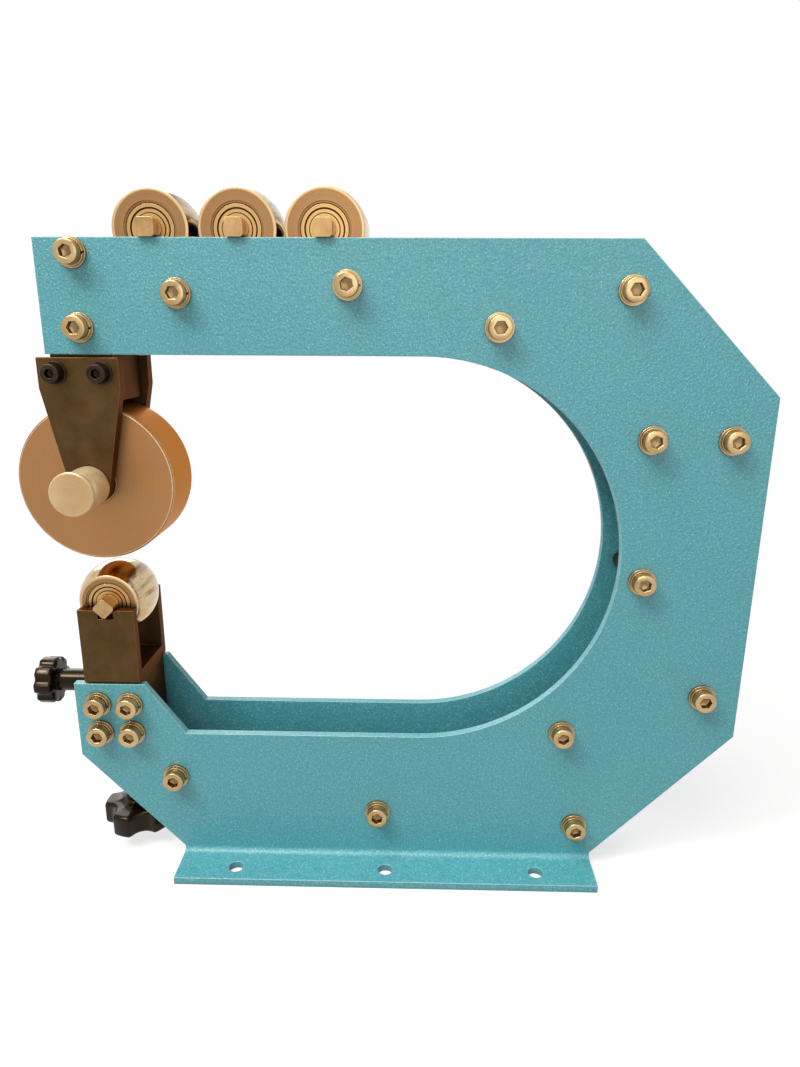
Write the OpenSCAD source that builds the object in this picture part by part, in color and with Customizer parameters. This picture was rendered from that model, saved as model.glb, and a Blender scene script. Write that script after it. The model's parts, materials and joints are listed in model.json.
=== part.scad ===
// English wheel for shaping sheet metal: a bolted C-frame with an upper wheel over a raised lower anvil.
// The origin is the centre of the base bolts. X runs along the throat, Y across the plates, Z up.

/* [Frame] */
// Height of the lower arm, from the base to the sill of the throat
sill_h = 114; // [104:1:130]
// Height of the upper arm
arm_h = 76; // [70:1:90]
// Distance from the base bolt centre to the wheel axis
reach = 213.5; // [205:0.5:225]
// Distance from the wheel axis to the end of the throat
throat_depth = 385; // [370:1:400]
// Width of the column behind the throat
back_w = 99; // [92:1:120]
// Cut across the upper rear corner
corner_cut = 102; // [60:1:110]
// Height where the lower rear corner starts to slope
heel_h = 119; // [100:1:140]
// Thickness of each side plate
plate_t = 6; // [5:0.5:8]
// Clear gap between the side plates
plate_gap = 50; // [49:0.5:56]
// Arm in front of the wheel axis
arm_nose = 22.5; // [21.5:0.5:27]

/* [Base flange] */
// Length of the base flange
flange_len = 333; // [310:1:360]
// Width of the base flange beyond the plate
flange_w = 33; // [30:1:45]
// Inner radius of the flange bend
bend_r = 4.5; // [3:0.5:6]
// Distance between neighbouring base holes
base_pitch = 120; // [100:1:135]
// Diameter of the base holes
base_hole_d = 12; // [9:0.5:13]
// Distance from the base holes to the edge of the flange
base_hole_in = 14; // [11:0.5:18]

/* [Lower jaw] */
// Rise of the jaw above the sill
jaw_rise = 42; // [36:1:52]
// Height of the jaw's front edge
jaw_h = 62; // [60:1:70]
// Jaw in front of the wheel axis
jaw_front = 30.5; // [26:0.5:36]
// Flat top of the jaw behind the wheel axis
jaw_back = 24.5; // [23:0.5:34]
// Run of the slope behind the jaw
jaw_slope = 30.5; // [20:0.5:45]
// Width of the guide block along the throat
guide_w = 42; // [41:0.5:46]
// Height of the guide block
guide_h = 58; // [54:1:60]
// Thickness of the nut plate under the guide block
nut_plate_t = 12; // [10:0.5:13]
// Spacing of the guide screws along the throat
guide_pitch_x = 25; // [23:0.5:26]
// Spacing of the guide screws up the jaw
guide_pitch_z = 24.5; // [23:0.5:27]

/* [Post and yoke] */
// Side of the square post
post_w = 25; // [22:0.5:26]
// Height of the yoke
yoke_h = 60.5; // [54:0.5:70]
// Width of the yoke along the throat
yoke_l = 43; // [38:0.5:48]
// Thickness of each yoke wall
yoke_wall = 7; // [5:0.5:9]
// Thickness of the yoke floor
yoke_floor = 8.5; // [7:0.5:12]
// Width of the notch that carries the anvil axle
notch_w = 12.2; // [11.5:0.1:13]
// Depth of the notch below the top of the yoke wall
notch_h = 7; // [6.5:0.5:10]
// Diameter of the adjuster screw
adjuster_d = 16; // [14:1:18]

/* [Anvils] */
// Largest diameter of every anvil
anvil_d = 57; // [52:0.5:58]
// Width of every anvil
anvil_w = 45; // [40:0.5:46]
// Crown radius of the mounted anvil
anvil_crown_r = 45; // [36:1:80]
// Crown radius of the first spare anvil
spare_1_crown_r = 95; // [80:1:120]
// Crown radius of the second spare anvil
spare_2_crown_r = 120; // [100:1:150]
// Crown radius of the third spare anvil
spare_3_crown_r = 160; // [130:1:400]
// Diameter of the anvil axles
anvil_axle_d = 15; // [15:0.5:16]
// Length of the anvil axles
anvil_axle_len = 68; // [64:1:80]
// Width across the flats at the axle ends
axle_flat = 12; // [11.5:0.1:12.5]
// Outer diameter of the anvil bearings
anvil_bearing_od = 32; // [30:0.5:35]
// Width of the anvil bearings
anvil_bearing_w = 9; // [8:0.5:11]
// Distance between the spare anvils on the arm
spare_pitch = 58.7; // [58.5:0.1:64]
// Distance from the wheel axis to the first spare anvil
spare_start = 54.5; // [53:0.5:70]

/* [Upper wheel and fork] */
// Diameter of the upper wheel
wheel_d = 115; // [100:1:120]
// Width of the upper wheel
wheel_w = 45; // [40:0.5:47]
// Open gap between the wheel and the anvil at rest
sheet_gap = 8.5; // [6:0.5:20]
// Distance from the arm down to the wheel axis
fork_drop = 92; // [88:0.5:110]
// Width of the fork plates at the top
fork_w = 57; // [52:0.5:62]
// Thickness of each fork plate
fork_t = 8; // [6:0.5:10]
// Radius of the fork's lower end
fork_end_r = 14.5; // [13:0.5:20]
// Diameter of the axle pin
pin_d = 17; // [15:0.5:18]
// Outer diameter of the wheel bearings
wheel_bearing_od = 30; // [28:0.5:35]
// Width of the wheel bearings
wheel_bearing_w = 7; // [6:0.5:9]
// Diameter of the pin's head
pin_head_d = 31; // [28:0.5:36]
// Length of the pin's neck in front of the fork
pin_neck_len = 24; // [18:0.5:30]

/* [Handles] */
// Radius of the star handle over its lobes
star_r = 29; // [26:0.5:30]
// Height of the star handle's lobes
star_h = 20; // [16:0.5:22]
// Height of the star handle's hub above the lobes
star_hub_h = 25; // [18:0.5:30]
// Radius of the lock knob over its lobes
knob_r = 19; // [16:0.5:22]
// Thickness of the lock knob's head
knob_h = 14.5; // [13:0.5:22]
// Length of the lock knob's hub
knob_hub_len = 24; // [18:0.5:28]

/* [Hidden] */
$fn = 96;

// How far every cut runs past its piece
overrun = 1;
// Clearance of pieces seated on round faces
seat_gap = 0.03;
// Clearance of a turning shaft in its bore
run_gap = 0.06;
// Clearance of the square post in its guide
slide_gap = 0.08;
// Clearance of a bolt in its hole
bolt_gap = 0.5;
// Clearance between balls and races, and between shields and rings
race_gap = 0.1;

// Threaded fasteners
bolt_d = 10;
bolt_head_d = 16;
bolt_head_h = 6.5;
bolt_socket = 8;
bolt_socket_h = 4;
bolt_tail = 3.5;
nut_flat = 17;
nut_h = 8;
washer_d = 20;
washer_t = 2;
spring_d = 18;
spring_t = 2.2;
spring_slit = 1.4;
spring_lean = 20;
stack_t = washer_t + spring_t;
small_d = 8;
small_head_d = 13;
small_head_h = 8;
small_socket = 6;
small_socket_h = 4;
small_washer_d = 16;
small_washer_t = 1.6;
plate_screw_d = 6;
plate_screw_head_d = 10;
plate_screw_head_h = 6;
plate_screw_socket = 5;
plate_screw_socket_h = 3;
plate_screw_grip = 9;
edge_cut = 0.8;

// Levels from the base upward
bend_top = plate_t + bend_r;
face_y = plate_gap / 2 + plate_t;
fork_face_y = plate_gap / 2 + fork_t;
flange_y = face_y + flange_w;
base_hole_y = flange_y - base_hole_in;
yoke_gap = 0.5;
jaw_top = sill_h + jaw_rise;
jaw_low = jaw_top - jaw_h;
yoke_z = jaw_top + yoke_gap;
yoke_top = yoke_z + yoke_h;
axle_seat = (axle_flat * sqrt(2) - notch_w) / 2 + seat_gap;
anvil_z = yoke_top + axle_seat;
wheel_z = anvil_z + anvil_d / 2 + sheet_gap + wheel_d / 2;
throat_top = wheel_z + fork_drop;
frame_h = throat_top + arm_h;

// Places along the throat
axis_x = -reach;
arm_x = axis_x - arm_nose;
throat_r = (throat_top - sill_h) / 2;
throat_z = sill_h + throat_r;
throat_end = axis_x + throat_depth;
throat_x = throat_end - throat_r;
frame_end = throat_end + back_w;

// Axles and spare anvils
axle_shoulder = 1;
axle_round_half = anvil_w / 2 + axle_shoulder;
spare_z = frame_h + axle_flat / 2 + seat_gap;
spare_crown_rs = [spare_1_crown_r, spare_2_crown_r, spare_3_crown_r];
function spare_x(i) = axis_x + spare_start + (i - 1) * spare_pitch;

// Spacer bolts: shares of the stretch along X, then of the height that is free for them.
// In the arm that height ends where a spacer tube would come near the spare anvils.
spacer_d = 14;
spacer_clear = 0.4;
arm_bolt_room = spare_z - anvil_d / 2 - spacer_clear - spacer_d / 2 - throat_top;
arm_bolt_shares = [[0.187, 0.878], [0.487, 1], [0.753, 0.418], [0.981, 0.947]];
back_bolt_shares = [[0.147, 0.808], [0.712, 0.808], [0.167, 0.451], [0.712, 0.1325]];
sill_bolt_shares = [[0.823, 1.053], [0.912, 0.321], [-0.0424, 0.405], [-1.015, 0.667]];
spacer_spots = concat(
    [for (s = arm_bolt_shares) [axis_x + s[0] * throat_depth, throat_top + s[1] * arm_bolt_room]],
    [for (s = back_bolt_shares) [throat_end + s[0] * back_w, sill_h + s[1] * (throat_top - sill_h)]],
    [for (s = sill_bolt_shares) [s[0] * flange_len / 2, s[1] * sill_h]]
);

// Head block and its bolts
head_block_in = 0.5;
head_block_w = 2 * (arm_nose - head_block_in);
head_block_clear = 2;
head_block_top_in = 1.5;
head_bolt_in = 3.5;
head_bolt_x = axis_x + head_bolt_in;
head_bolt_shares = [0.235, 0.87];
head_spots = [for (s = head_bolt_shares) [head_bolt_x, throat_top + s * arm_h]];
through_spots = concat(spacer_spots, head_spots);
head_block_low = wheel_z + wheel_d / 2 + head_block_clear;

// Fork plates
fork_top_gap = 2;
fork_top = throat_top - fork_top_gap;
fork_side_h = 21;
fork_taper_in = 0.3;
fork_screw_drop = 10.5;
fork_screw_pitch = 32;
fork_screw_grip = 13;
fork_spots = [for (s = [-1, 1]) [axis_x + s * fork_screw_pitch / 2, fork_top - fork_screw_drop]];

// Axle pin
pin_head_h = 7;
pin_neck_d = 29;
pin_neck_round = 3;
pin_edge = 1.5;
pin_tail = 6;
clip_t = 1.5;
clip_d = 23;
clip_groove = 1;
clip_mouth = 10;
sleeve_wall = 2;

// Bearings: share of a ring section that the ball takes, and of the ball that lies in each race
ball_share = 0.58;
race_share = 0.3;
ball_count = 9;
shield_t = 0.5;
shield_in = 0.4;
bearing_recess = 1;
wheel_bore_clear = 1.5;
wheel_edge = 1.2;
anvil_edge = 0.6;
anvil_bore_clear = 2.5;
anvil_lip = 1.8;
wheel_bearing_y = wheel_w / 2 - wheel_bearing_w / 2;
anvil_bearing_y = anvil_w / 2 - bearing_recess - anvil_bearing_w / 2;

// Guide, post and nut plate
guide_low = jaw_top - guide_h;
guide_mid = jaw_top - guide_h / 2;
guide_spots = [
    for (sx = [-1, 1]) for (sz = [-1, 1])
        [axis_x + sx * guide_pitch_x / 2, guide_mid + sz * guide_pitch_z / 2]
];
guide_screw_grip = 9.5;
nut_plate_low = guide_low - nut_plate_t;
nut_plate_side = 0.5;
plate_screw_in = 5.5;
nut_plate_w = plate_gap - 2 * nut_plate_side;
nut_plate_spots = [
    for (sx = [-1, 1]) for (sy = [-1, 1])
        [axis_x + sx * (guide_w / 2 - plate_screw_in), sy * (nut_plate_w / 2 - plate_screw_in)]
];
post_lift_gap = 6;
post_low = guide_low + post_lift_gap;
post_edge = 1;
journal_d = 12;
journal_h = 16;
journal_top_gap = 1;
groove_d = 8.4;
groove_w = 4.6;
groove_up = 6;
swivel_pin_d = 4;
swivel_pin_in = 0.5;
swivel_pin_x = groove_d / 2 + swivel_pin_d / 2 + race_gap;
swivel_pin_z = post_low + groove_up;
yoke_screw_grip = 18;
yoke_edge = 2;
yoke_side_gap = 1.5;
yoke_inner_w = anvil_w + 2 * yoke_side_gap;
yoke_w = yoke_inner_w + 2 * yoke_wall;

// Star handle and lock knob
star_drop = 28;
star_hub_d = 22;
star_top = nut_plate_low - star_drop;
star_low = star_top - star_hub_h - star_h;
star_lobes = 5;
star_cut_r = 12.5;
star_cut_out = 5.5;
star_round = 3.5;
star_turn = 38;
insert_wall = 2;
insert_flange = 3;
insert_flange_t = 1.5;
lock_drop = 12;
lock_z = jaw_top - lock_drop;
lock_d = 10;
knob_lobes = 8;
knob_cut_r = 4.6;
knob_cut_out = 2.2;
knob_round = 3;
knob_hub_d = 18;
knob_stand = 11.5;
pad_t = 5;
pad_gap = 0.1;
guide_x = axis_x - guide_w / 2;
pad_x = axis_x - post_w / 2 - pad_gap;
knob_x = guide_x - knob_stand;
knob_socket_depth = 16;

// Turns a shape so that its +Z points to the front, and sets it at [x, y, z]
module facing(x, y, z) {
    translate([x, y, z]) rotate([90, 0, 0]) children();
}

// Puts children at both ends of a width, mirrored across the mid-plane
module both_sides() {
    children();
    mirror([0, 1, 0]) children();
}

// Socket head screw with its seat at zero and its head upward
module socket_screw(d, length, head_d, head_h, socket, socket_h) {
    difference() {
        rotate_extrude() polygon([
            [0, -length], [d / 2 - edge_cut, -length], [d / 2, edge_cut - length], [d / 2, 0],
            [head_d / 2, 0], [head_d / 2, head_h - edge_cut], [head_d / 2 - edge_cut, head_h], [0, head_h],
        ]);
        translate([0, 0, head_h - socket_h])
            cylinder(d = socket / cos(30), h = socket_h + overrun, $fn = 6);
    }
}

// Flat ring standing on zero
module ring(inner_d, outer_d, t) {
    difference() {
        cylinder(d = outer_d, h = t);
        translate([0, 0, -overrun]) cylinder(d = inner_d, h = t + 2 * overrun);
    }
}

// Split ring with a leaning slit
module split_ring(inner_d, outer_d, t, slit, lean) {
    difference() {
        ring(inner_d, outer_d, t);
        translate([0, 0, t / 2]) rotate([lean, 0, 0])
            translate([0, -slit / 2, -t - overrun]) cube([outer_d, slit, 2 * (t + overrun)]);
    }
}

// Hexagon nut standing on zero, with its corners turned off
module hex_nut(d, flat, h) {
    corner_d = flat / cos(30);
    corner_cut_h = (corner_d - flat) / 2;
    difference() {
        intersection() {
            cylinder(d = corner_d, h = h, $fn = 6);
            rotate_extrude() polygon([
                [0, 0], [flat / 2, 0], [corner_d / 2, corner_cut_h],
                [corner_d / 2, h - corner_cut_h], [flat / 2, h], [0, h],
            ]);
        }
        translate([0, 0, -overrun]) cylinder(d = d, h = h + 2 * overrun);
    }
}

// Square with rounded corners, centred across and standing on zero
module round_slab(w, h, r) {
    translate([-w / 2 + r, 0]) square([w - 2 * r, h]);
    translate([-w / 2, r]) square([w, h - 2 * r]);
    for (x = [-w / 2 + r, w / 2 - r], y = [r, h - r]) translate([x, y]) circle(r);
}

// Centred square with its corners bevelled
module bevelled_square(w, edge) {
    far = w / 2;
    near = w / 2 - edge;
    polygon([
        [far, -near], [far, near], [near, far], [-near, far],
        [-far, near], [-far, -near], [-near, -far], [near, -far],
    ]);
}

// Side view of a frame plate, without its flange
module plate_outline() {
    difference() {
        polygon([
            [-flange_len / 2, bend_top], [axis_x - jaw_front, jaw_low], [axis_x - jaw_front, jaw_top],
            [axis_x + jaw_back, jaw_top], [axis_x + jaw_back + jaw_slope, sill_h], [throat_x, sill_h],
            [throat_x, throat_top], [arm_x, throat_top], [arm_x, frame_h],
            [frame_end - corner_cut, frame_h], [frame_end, frame_h - corner_cut],
            [frame_end, heel_h], [flange_len / 2, bend_top],
        ]);
        translate([throat_x, throat_z]) circle(throat_r, $fn = 192);
    }
}

// End view of the flange and its bend, with the plate's inner face at zero
module flange_outline() {
    bend_y = -plate_t - bend_r;
    translate([bend_y, bend_top]) intersection() {
        difference() {
            circle(bend_top);
            circle(bend_r);
        }
        translate([0, -bend_top]) square(bend_top);
    }
    translate([-plate_t - flange_w, 0]) square([flange_w - bend_r, plate_t]);
}

module side_plate() {
    difference() {
        union() {
            facing(0, -plate_gap / 2, 0) linear_extrude(plate_t) plate_outline();
            translate([-flange_len / 2, -plate_gap / 2, 0]) rotate([90, 0, 90])
                linear_extrude(flange_len) flange_outline();
        }
        for (s = concat(through_spots, guide_spots))
            facing(s[0], overrun - plate_gap / 2, s[1])
                cylinder(r = bolt_d / 2 + bolt_gap, h = plate_t + 2 * overrun);
        for (i = [-1, 0, 1])
            translate([i * base_pitch, -base_hole_y, -overrun])
                cylinder(d = base_hole_d, h = plate_t + 2 * overrun);
    }
}

module front_plate() { color([0.35, 0.63, 0.67]) side_plate(); }

module rear_plate() { color([0.33, 0.6, 0.64]) mirror([0, 1, 0]) side_plate(); }

module spacer_tubes() {
    color([0.12, 0.11, 0.1])
        for (s = spacer_spots)
            facing(s[0], plate_gap / 2, s[1]) ring(bolt_d + 2 * bolt_gap, spacer_d, plate_gap);
}

module frame_bolts() {
    bolt_len = 2 * face_y + stack_t + washer_t + nut_h + bolt_tail;
    color([0.8, 0.62, 0.35])
        for (s = through_spots)
            facing(s[0], -face_y - stack_t, s[1])
                socket_screw(bolt_d, bolt_len, bolt_head_d, bolt_head_h, bolt_socket, bolt_socket_h);
}

module spring_washers() {
    color([0.75, 0.58, 0.33]) {
        for (s = concat(through_spots, guide_spots))
            facing(s[0], -face_y - washer_t, s[1])
                split_ring(bolt_d + 2 * seat_gap, spring_d, spring_t, spring_slit, spring_lean);
        for (s = guide_spots) mirror([0, 1, 0])
            facing(s[0], -face_y - washer_t, s[1])
                split_ring(bolt_d + 2 * seat_gap, spring_d, spring_t, spring_slit, spring_lean);
    }
}

module flat_washers() {
    color([0.78, 0.6, 0.34])
        for (s = concat(through_spots, guide_spots)) both_sides()
            facing(s[0], -face_y, s[1]) ring(bolt_d + bolt_gap, washer_d, washer_t);
}

module frame_nuts() {
    color([0.78, 0.6, 0.34])
        for (s = through_spots)
            facing(s[0], face_y + washer_t + nut_h, s[1]) hex_nut(bolt_d + 2 * seat_gap, nut_flat, nut_h);
}

// Block between the plates that the fork hangs from
module head_block() {
    head_block_h = frame_h - head_block_top_in - head_block_low;
    color([0.2, 0.17, 0.13]) difference() {
        translate([axis_x - head_block_w / 2, -plate_gap / 2, head_block_low])
            cube([head_block_w, plate_gap, head_block_h]);
        for (s = head_spots)
            facing(s[0], plate_gap / 2 + overrun, s[1])
                cylinder(r = bolt_d / 2 + bolt_gap, h = plate_gap + 2 * overrun);
        for (s = fork_spots) both_sides()
            facing(s[0], fork_screw_grip + overrun - plate_gap / 2, s[1])
                cylinder(r = small_d / 2 + seat_gap, h = fork_screw_grip + 2 * overrun);
    }
}

// Side view of a fork plate about the wheel axis, without its round end: straight sides, then a taper
module fork_outline() {
    top = fork_top - wheel_z;
    shoulder = top - fork_side_h;
    half = fork_w / 2;
    foot_r = fork_end_r - fork_taper_in;
    meet = atan2(shoulder, half) - acos(foot_r / sqrt(half * half + shoulder * shoulder));
    foot = [foot_r * cos(meet), foot_r * sin(meet)];
    polygon([[half, top], [half, shoulder], foot, [-foot[0], foot[1]], [-half, shoulder], [-half, top]]);
}

module fork_plate() {
    difference() {
        facing(axis_x, -plate_gap / 2, wheel_z) {
            linear_extrude(fork_t) fork_outline();
            cylinder(r = fork_end_r, h = fork_t);
        }
        facing(axis_x, overrun - plate_gap / 2, wheel_z)
            cylinder(r = pin_d / 2 + seat_gap, h = fork_t + 2 * overrun);
        for (s = fork_spots)
            facing(s[0], overrun - plate_gap / 2, s[1])
                cylinder(r = small_d / 2 + bolt_gap, h = fork_t + 2 * overrun);
    }
}

module front_fork_plate() { color([0.24, 0.19, 0.13]) fork_plate(); }

module rear_fork_plate() { color([0.24, 0.19, 0.13]) mirror([0, 1, 0]) fork_plate(); }

module fork_screws() {
    color([0.1, 0.09, 0.08])
        for (s = fork_spots) both_sides()
            facing(s[0], -fork_face_y - small_washer_t, s[1])
                socket_screw(small_d, small_washer_t + fork_t + fork_screw_grip, small_head_d, small_head_h,
                    small_socket, small_socket_h);
}

module fork_washers() {
    color([0.13, 0.12, 0.1])
        for (s = fork_spots) both_sides()
            facing(s[0], -fork_face_y, s[1]) ring(small_d + bolt_gap, small_washer_d, small_washer_t);
}

// Pull-out axle pin: a thick head and a rounded neck in front of the fork, a groove for the clip behind it
module axle_pin() {
    neck_r = pin_neck_d / 2;
    head_r = pin_head_d / 2;
    clip_y = -2 * fork_face_y;
    color([0.85, 0.75, 0.5]) facing(axis_x, -fork_face_y, wheel_z) rotate_extrude() difference() {
        union() {
            polygon([
                [0, clip_y - pin_tail], [pin_d / 2 - edge_cut, clip_y - pin_tail],
                [pin_d / 2, clip_y - pin_tail + edge_cut], [pin_d / 2, 0], [neck_r, 0],
                [neck_r, pin_neck_len - pin_neck_round], [neck_r - pin_neck_round, pin_neck_len],
                [head_r, pin_neck_len], [head_r, pin_neck_len + pin_head_h - pin_edge],
                [head_r - pin_edge, pin_neck_len + pin_head_h], [0, pin_neck_len + pin_head_h],
            ]);
        }
        translate([pin_d / 2 - clip_groove, clip_y - clip_t - seat_gap])
            square([clip_groove + overrun, clip_t + seat_gap]);
    }
}

// Open clip in the pin's groove behind the rear fork plate
module pin_clip() {
    color([0.3, 0.28, 0.26]) facing(axis_x, fork_face_y + clip_t, wheel_z) difference() {
        ring(pin_d - 2 * clip_groove + 2 * seat_gap, clip_d, clip_t);
        translate([-clip_mouth / 2, -clip_d, -overrun]) cube([clip_mouth, clip_d, clip_t + 2 * overrun]);
    }
}

// Sleeve between the wheel bearings, and one spacer on each side
module axle_sleeve() {
    sleeve_d = pin_d + 2 * sleeve_wall;
    inner_y = wheel_w / 2 - wheel_bearing_w;
    side_t = plate_gap / 2 - wheel_w / 2;
    color([0.6, 0.6, 0.6]) {
        facing(axis_x, inner_y, wheel_z) ring(pin_d + 2 * seat_gap, sleeve_d, 2 * inner_y);
        both_sides() facing(axis_x, -wheel_w / 2, wheel_z) ring(pin_d + 2 * seat_gap, sleeve_d, side_t);
    }
}

// Ball bearing sizes from its bore and outer diameter
function ball_d(bore, od) = ball_share * (od - bore) / 2;
function pitch_r(bore, od) = (bore + od) / 4;
function inner_race_r(bore, od) = pitch_r(bore, od) - race_share * ball_d(bore, od);
function outer_race_r(bore, od) = pitch_r(bore, od) + race_share * ball_d(bore, od);

// Inner ring about the Z axis, centred, with its ball groove
module inner_ring(bore, od, w) {
    rotate_extrude() difference() {
        translate([bore / 2 + seat_gap, -w / 2]) square([inner_race_r(bore, od) - bore / 2 - seat_gap, w]);
        translate([pitch_r(bore, od), 0]) circle(ball_d(bore, od) / 2 + race_gap);
    }
}

// Outer ring about the Z axis, centred, with its ball groove and its two pressed-in shields
module outer_ring(bore, od, w) {
    shield_r = inner_race_r(bore, od) + 2 * race_gap;
    rotate_extrude() {
        difference() {
            translate([outer_race_r(bore, od), -w / 2])
                square([od / 2 - seat_gap - outer_race_r(bore, od), w]);
            translate([pitch_r(bore, od), 0]) circle(ball_d(bore, od) / 2 + race_gap);
        }
        for (y = [shield_in - w / 2, w / 2 - shield_in - shield_t])
            translate([shield_r, y]) square([outer_race_r(bore, od) + shield_t - shield_r, shield_t]);
    }
}

// Circle of balls about the Z axis
module ball_circle(bore, od) {
    for (i = [0:ball_count - 1]) rotate([0, 0, i * 360 / ball_count])
        translate([pitch_r(bore, od), 0, 0]) sphere(d = ball_d(bore, od), $fn = 32);
}

// Puts a bearing's children at both ends of a wheel on the axis through x and z
module at_bearings(x, z, y) {
    both_sides() facing(x, -y, z) children();
}

module wheel_inner_rings() {
    color([0.7, 0.7, 0.7]) at_bearings(axis_x, wheel_z, wheel_bearing_y)
        inner_ring(pin_d, wheel_bearing_od, wheel_bearing_w);
}

module wheel_outer_rings() {
    color([0.7, 0.68, 0.62]) at_bearings(axis_x, wheel_z, wheel_bearing_y)
        outer_ring(pin_d, wheel_bearing_od, wheel_bearing_w);
}

module wheel_balls() {
    color([0.8, 0.8, 0.8]) at_bearings(axis_x, wheel_z, wheel_bearing_y)
        ball_circle(pin_d, wheel_bearing_od);
}

// Plain wheel with bevelled edges and a bearing seat in each face
module upper_wheel() {
    wheel_r = wheel_d / 2;
    half = wheel_w / 2;
    seat_r = wheel_bearing_od / 2;
    seat_y = half - wheel_bearing_w;
    bore_r = pin_d / 2 + sleeve_wall + wheel_bore_clear;
    color([0.66, 0.52, 0.36]) facing(axis_x, 0, wheel_z) rotate_extrude($fn = 192) polygon([
        [bore_r, -seat_y], [seat_r, -seat_y], [seat_r, -half], [wheel_r - wheel_edge, -half],
        [wheel_r, wheel_edge - half], [wheel_r, half - wheel_edge], [wheel_r - wheel_edge, half],
        [seat_r, half], [seat_r, seat_y], [bore_r, seat_y],
    ]);
}

// Guide for the post, bolted between the plates of the lower jaw
module guide_block() {
    bore_w = post_w + 2 * slide_gap;
    color([0.16, 0.14, 0.12]) difference() {
        translate([guide_x, -plate_gap / 2, guide_low]) cube([guide_w, plate_gap, guide_h]);
        translate([axis_x - bore_w / 2, -bore_w / 2, guide_low - overrun])
            cube([bore_w, bore_w, guide_h + 2 * overrun]);
        for (s = guide_spots) both_sides()
            facing(s[0], guide_screw_grip - plate_gap / 2, s[1])
                cylinder(r = bolt_d / 2 + seat_gap, h = guide_screw_grip + overrun);
        translate([guide_x - overrun, 0, lock_z]) rotate([0, 90, 0])
            cylinder(r = lock_d / 2 + run_gap, h = guide_w / 2);
        for (s = nut_plate_spots)
            translate([s[0], s[1], guide_low - overrun])
                cylinder(r = plate_screw_d / 2 + seat_gap, h = plate_screw_grip + overrun);
    }
}

module guide_screws() {
    color([0.8, 0.62, 0.35])
        for (s = guide_spots) both_sides()
            facing(s[0], -face_y - stack_t, s[1])
                socket_screw(bolt_d, stack_t + plate_t + guide_screw_grip, bolt_head_d, bolt_head_h,
                    bolt_socket, bolt_socket_h);
}

// Plate under the guide that the adjuster screws through
module nut_plate() {
    color([0.2, 0.18, 0.15]) difference() {
        translate([guide_x, -nut_plate_w / 2, nut_plate_low]) cube([guide_w, nut_plate_w, nut_plate_t]);
        translate([axis_x, 0, nut_plate_low - overrun])
            cylinder(r = adjuster_d / 2 + run_gap, h = nut_plate_t + 2 * overrun);
        for (s = nut_plate_spots)
            translate([s[0], s[1], nut_plate_low - overrun])
                cylinder(r = plate_screw_d / 2 + bolt_gap, h = nut_plate_t + 2 * overrun);
    }
}

module nut_plate_screws() {
    color([0.1, 0.09, 0.08])
        for (s = nut_plate_spots)
            translate([s[0], s[1], nut_plate_low]) mirror([0, 0, 1])
                socket_screw(plate_screw_d, nut_plate_t + plate_screw_grip, plate_screw_head_d,
                    plate_screw_head_h, plate_screw_socket, plate_screw_socket_h);
}

// Square post that carries the yoke, with a blind bore for the screw's journal
module slide_post() {
    color([0.55, 0.53, 0.5]) difference() {
        translate([axis_x, 0, post_low]) linear_extrude(yoke_z - post_low)
            bevelled_square(post_w, post_edge);
        translate([axis_x, 0, post_low - overrun])
            cylinder(r = journal_d / 2 + run_gap, h = journal_h + journal_top_gap + overrun);
        translate([axis_x, 0, yoke_z - yoke_screw_grip])
            cylinder(r = small_d / 2 + seat_gap, h = yoke_screw_grip + overrun);
        for (s = [-1, 1])
            facing(axis_x + s * swivel_pin_x, post_w / 2 + overrun, swivel_pin_z)
                cylinder(r = swivel_pin_d / 2 + seat_gap, h = post_w + 2 * overrun);
    }
}

// Two pins across the post that hold the screw's journal by its groove
module swivel_pins() {
    pin_len = post_w - 2 * swivel_pin_in;
    color([0.7, 0.7, 0.68])
        for (s = [-1, 1])
            facing(axis_x + s * swivel_pin_x, pin_len / 2, swivel_pin_z)
                cylinder(d = swivel_pin_d, h = pin_len);
}

// End view of the yoke: a U with its two lower corners rounded
module yoke_outline() {
    difference() {
        union() {
            round_slab(yoke_w, yoke_h, yoke_edge);
            translate([-yoke_w / 2, yoke_h / 2]) square([yoke_w, yoke_h / 2]);
        }
        translate([-yoke_inner_w / 2, yoke_floor]) square([yoke_inner_w, yoke_h]);
    }
}

// U-shaped yoke whose notches carry the anvil axle
module anvil_yoke() {
    color([0.24, 0.19, 0.12]) difference() {
        translate([axis_x - yoke_l / 2, 0, yoke_z]) rotate([90, 0, 90])
            linear_extrude(yoke_l) yoke_outline();
        translate([axis_x - notch_w / 2, -yoke_w, yoke_top - notch_h])
            cube([notch_w, 2 * yoke_w, notch_h + overrun]);
        translate([axis_x, 0, yoke_z - overrun])
            cylinder(r = small_d / 2 + bolt_gap, h = yoke_floor + 2 * overrun);
    }
}

module yoke_screw() {
    color([0.1, 0.09, 0.08]) translate([axis_x, 0, yoke_z + yoke_floor])
        socket_screw(small_d, yoke_floor + yoke_screw_grip, small_head_d, small_head_h,
            small_socket, small_socket_h);
}

// Round axle with a square milled on each end; turn sets the square on its edge or on its flat
module anvil_axle_at(x, z, turn) {
    end_len = anvil_axle_len / 2 - axle_round_half;
    facing(x, 0, z) rotate([0, 0, turn]) {
        cylinder(d = anvil_axle_d, h = 2 * axle_round_half, center = true);
        for (s = [-1, 1]) intersection() {
            cylinder(d = anvil_axle_d, h = anvil_axle_len, center = true);
            translate([-axle_flat / 2, -axle_flat / 2, s * (axle_round_half + end_len / 2) - end_len / 2])
                cube([axle_flat, axle_flat, end_len]);
        }
    }
}

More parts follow.
